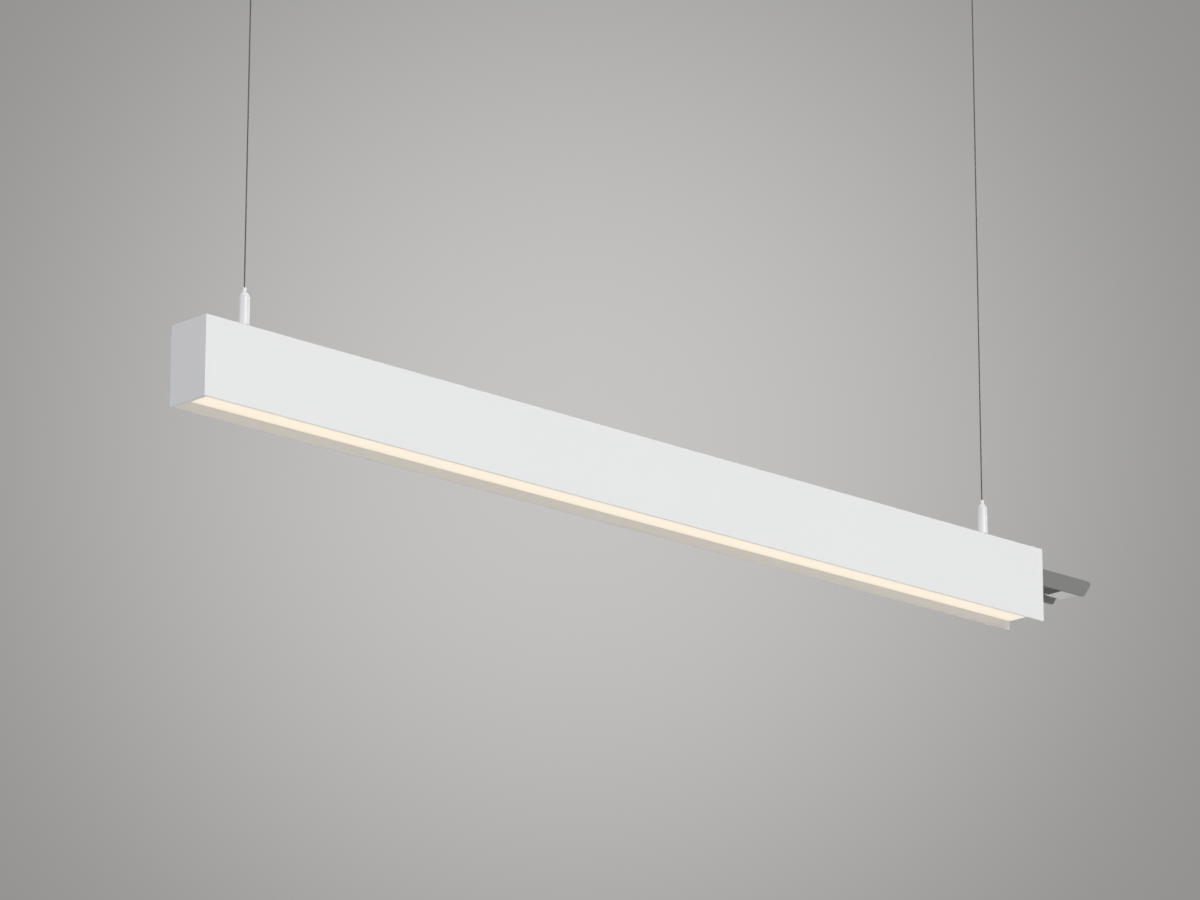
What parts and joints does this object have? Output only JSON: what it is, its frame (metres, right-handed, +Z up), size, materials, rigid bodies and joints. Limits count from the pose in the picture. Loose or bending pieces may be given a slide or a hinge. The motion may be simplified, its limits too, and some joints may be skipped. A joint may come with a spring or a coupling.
{
  "type": "linear pendant light",
  "caption": "White linear pendant light hung on steel cables with sprung cable grippers; opal lens set up between the walls; joiner blades and a feed plug at its open end.",
  "frame": {"origin": "on the ceiling plane, midway between the two ceiling screw holes", "axes": "+X along the light towards its open end, -Y out of the front face, +Z up into the ceiling"},
  "size_m": [1.3024, 0.054, 0.784],
  "materials": {
    "white_powder_coat": "satin white powder coat on extruded aluminium",
    "opal_lens": "opal frosted acrylic, lit warm white",
    "white_reflector_steel": "gloss white reflector paint on sheet steel",
    "circuit_board": "white solder mask",
    "led_phosphor": "yellow phosphor",
    "white_nylon": "moulded natural nylon",
    "driver_case": "moulded grey-white polycarbonate",
    "light_plastic": "moulded white polyamide",
    "dark_rubber": "dark grey moulded rubber",
    "contact_brass": "drawn brass",
    "zinc_steel": "dull zinc-plated steel",
    "screw_steel": "plain steel",
    "wire_sheath": "extruded insulation",
    "cable_steel": "galvanised wire rope",
    "white_fittings": "white lacquer on turned brass",
    "white_plunger": "white lacquer on turned brass"
  },
  "bodies": {
    "ceiling_fittings": {"ceiling_base_left": "white_fittings", "ceiling_cap_left": "white_fittings", "ceiling_base_right": "white_fittings", "ceiling_cap_right": "white_fittings"},
    "swivel_seats": {"swivel_seat_left": "white_nylon", "swivel_seat_right": "white_nylon"},
    "cable_left": {"cable_left": "cable_steel", "cable_stop_left": "screw_steel"},
    "gripper_left": {"gripper_body_left": "white_fittings", "gripper_foot_left": "white_fittings", "gripper_spring_left": "screw_steel"},
    "plunger_left": {"gripper_plunger_left": "white_plunger", "gripper_balls_left": "screw_steel", "ball_carrier_left": "screw_steel"},
    "cable_right": {"cable_right": "cable_steel", "cable_stop_right": "screw_steel"},
    "gripper_right": {"gripper_body_right": "white_fittings", "gripper_foot_right": "white_fittings", "gripper_spring_right": "screw_steel"},
    "plunger_right": {"gripper_plunger_right": "white_plunger", "gripper_balls_right": "screw_steel", "ball_carrier_right": "screw_steel"},
    "joiner_front": {"joiner_blade_front": "zinc_steel", "joiner_screws_front": "screw_steel"},
    "joiner_back": {"joiner_blade_back": "zinc_steel", "joiner_screws_back": "screw_steel"},
    "fixture": {"board_link": "white_nylon", "boot_clamp": "white_nylon", "cap_grub_screws": "screw_steel", "cap_screws": "screw_steel", "cap_tongues": "zinc_steel", "driver_screws": "screw_steel", "driver_wires": "wire_sheath", "end_cap": "white_powder_coat", "feed_plug": "light_plastic", "gear_tray": "white_reflector_steel", "hanger_nut_left": "screw_steel", "hanger_nut_right": "screw_steel", "housing": "white_powder_coat", "lead_grommet": "dark_rubber", "led_board_left": "circuit_board", "led_board_right": "circuit_board", "led_chips": "led_phosphor", "led_driver": "driver_case", "led_leads": "wire_sheath", "lens": "opal_lens", "plug_boot": "dark_rubber", "plug_contacts": "contact_brass", "supply_wires": "wire_sheath", "swivel_cup_left": "white_fittings", "swivel_cup_right": "white_fittings", "swivel_ring_left": "white_fittings", "swivel_ring_right": "white_fittings", "terminal_block": "light_plastic", "tray_screws": "screw_steel", "wire_clip": "white_nylon"}
  },
  "joints": [
    {"name": "swing_front_back", "type": "hinge", "parent": "ceiling_fittings", "child": "swivel_seats", "pos_m": [0, 0, -0.017], "axis": [1, 0, 0], "range_deg": [-15, 15]},
    {"name": "swing_lengthwise", "type": "hinge", "parent": "swivel_seats", "child": "cable_left", "pos_m": [-0.54, 0, -0.017], "axis": [0, 1, 0], "range_deg": [-10, 10]},
    {"name": "swing_lengthwise_right", "type": "hinge", "parent": "swivel_seats", "child": "cable_right", "pos_m": [0.54, 0, -0.017], "axis": [0, 1, 0], "range_deg": [-10, 10]},
    {"name": "height_adjust", "type": "slide", "parent": "cable_left", "child": "gripper_left", "axis": [0, 0, 1], "range_m": [0, 0.4], "deforming": ["cable_left"]},
    {"name": "height_adjust_right", "type": "slide", "parent": "cable_right", "child": "gripper_right", "axis": [0, 0, 1], "range_m": [0, 0.4], "deforming": ["cable_right"]},
    {"name": "gripper_swivel", "type": "hinge", "parent": "gripper_left", "child": "fixture", "pos_m": [-0.54, 0, -0.696], "axis": [0, 1, 0], "range_deg": [-10, 10]},
    {"name": "release_left", "type": "slide", "parent": "gripper_left", "child": "plunger_left", "axis": [0, 0, -1], "range_m": [0, 0.0025], "stiffness_N_per_m": 2500, "springref_m": -0.001, "deforming": ["gripper_spring_left"]},
    {"name": "release_right", "type": "slide", "parent": "gripper_right", "child": "plunger_right", "axis": [0, 0, -1], "range_m": [0, 0.0025], "stiffness_N_per_m": 2500, "springref_m": -0.001, "deforming": ["gripper_spring_right"]},
    {"name": "joiner_front_slide", "type": "slide", "parent": "fixture", "child": "joiner_front", "axis": [-1, 0, 0], "range_m": [0, 0.0845]},
    {"name": "joiner_back_slide", "type": "slide", "parent": "fixture", "child": "joiner_back", "axis": [-1, 0, 0], "range_m": [0, 0.0845]}
  ],
  "couplings": [
    {"joint": "swing_lengthwise_right", "follows": "swing_lengthwise", "ratio": 1},
    {"joint": "gripper_swivel", "follows": "swing_lengthwise", "ratio": -1},
    {"joint": "height_adjust_right", "follows": "height_adjust", "ratio": 1}
  ]
}
